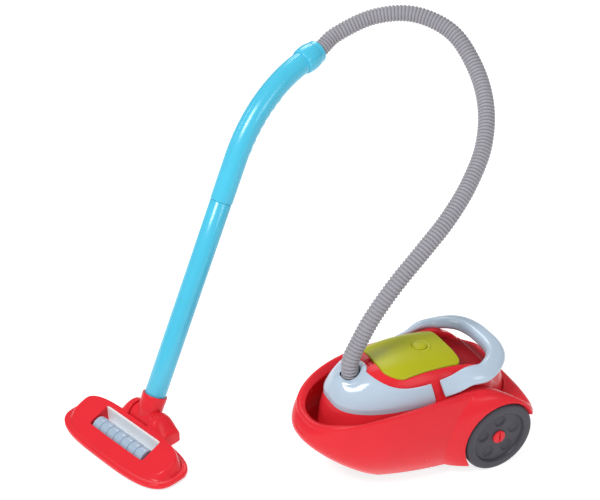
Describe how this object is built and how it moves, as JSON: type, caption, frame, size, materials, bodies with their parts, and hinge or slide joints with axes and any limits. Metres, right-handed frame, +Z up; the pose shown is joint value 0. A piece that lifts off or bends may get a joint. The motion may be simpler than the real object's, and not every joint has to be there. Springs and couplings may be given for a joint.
{
  "type": "toy vacuum cleaner",
  "caption": "Toy canister vacuum cleaner: wheeled body with opening lid, carry handle and finger loop, ribbed hose, bent wand with grip and a tipping floor head with a roller.",
  "frame": {"origin": "on the floor, in the middle of the footprint of canister, wand and floor head", "axes": "+Z up; the canister's front, where the hose goes in, faces -Y; its left side is +X"},
  "size_m": [0.3579, 0.5269, 0.4622],
  "materials": {
    "red_plastic": "smooth moulded gloss",
    "pale_plastic": "smooth moulded gloss",
    "lime_plastic": "satin moulded",
    "blue_plastic": "smooth moulded gloss",
    "hose_grey": "soft ribbed",
    "dark_plastic": "satin moulded",
    "steel": "plain"
  },
  "bodies": {
    "canister": {"skirt": "red_plastic", "upper_shell": "red_plastic", "base_plate": "dark_plastic", "base_screws": "steel", "front_trim": "pale_plastic", "hose_socket": "pale_plastic", "carry_handle": "pale_plastic", "lid_pin": "steel", "axle_pin_left": "red_plastic", "axle_pin_right": "red_plastic"},
    "lid": {"lid": "lime_plastic", "button_cup": "dark_plastic", "button_spring": "steel"},
    "button": {"lid_button": "lime_plastic"},
    "wheel_left": {"wheel_left": "dark_plastic"},
    "wheel_right": {"wheel_right": "dark_plastic"},
    "caster": {"caster_fork": "dark_plastic", "caster_axle": "steel"},
    "caster_wheel": {"caster_wheel": "dark_plastic"},
    "wand": {"hose_cuff": "dark_plastic", "hose": "hose_grey", "hose_collar": "blue_plastic", "wand_grip_left": "blue_plastic", "wand_grip_right": "blue_plastic", "wand_tube": "blue_plastic", "neck_elbow": "red_plastic"},
    "head": {"head_cover": "red_plastic", "head_sole": "pale_plastic", "neck_pin": "steel", "roller_axle": "steel", "head_screws": "steel"},
    "roller": {"roller": "pale_plastic"}
  },
  "joints": [
    {"name": "wheel_left_spin", "type": "hinge", "parent": "canister", "child": "wheel_left", "pos_m": [0.1648, 0.1891, 0.045], "axis": [1, 0, 0], "continuous": true},
    {"name": "wheel_right_spin", "type": "hinge", "parent": "canister", "child": "wheel_right", "pos_m": [0.0248, 0.1891, 0.045], "axis": [1, 0, 0], "continuous": true},
    {"name": "caster_swivel", "type": "hinge", "parent": "canister", "child": "caster", "pos_m": [0.0948, 0.0791, 0.035], "axis": [0, 0, 1], "continuous": true},
    {"name": "caster_wheel_spin", "type": "hinge", "parent": "caster", "child": "caster_wheel", "pos_m": [0.0948, 0.0871, 0.01], "axis": [1, 0, 0], "continuous": true},
    {"name": "lid_hinge", "type": "hinge", "parent": "canister", "child": "lid", "pos_m": [0.0948, 0.1551, 0.12255], "axis": [-1, 0, 0], "range_deg": [0, 95]},
    {"name": "lid_button_press", "type": "slide", "parent": "lid", "child": "button", "axis": [0, 0, -1], "range_m": [0, 0.0025], "stiffness_N_per_m": 600, "deforming": ["button_spring"]},
    {"name": "hose_swivel", "type": "hinge", "parent": "canister", "child": "wand", "pos_m": [0.0948, 0.0341, 0.118], "axis": [0, 0, 1], "range_deg": [-50, 110]},
    {"name": "neck_pitch", "type": "hinge", "parent": "wand", "child": "head", "pos_m": [-0.06317, -0.15801, 0.024], "axis": [0.9397, 0.342, 0], "range_deg": [-25, 50]},
    {"name": "roller_spin", "type": "hinge", "parent": "head", "child": "roller", "pos_m": [-0.04983, -0.19466, 0.0109], "axis": [0.9397, 0.342, 0], "continuous": true}
  ]
}
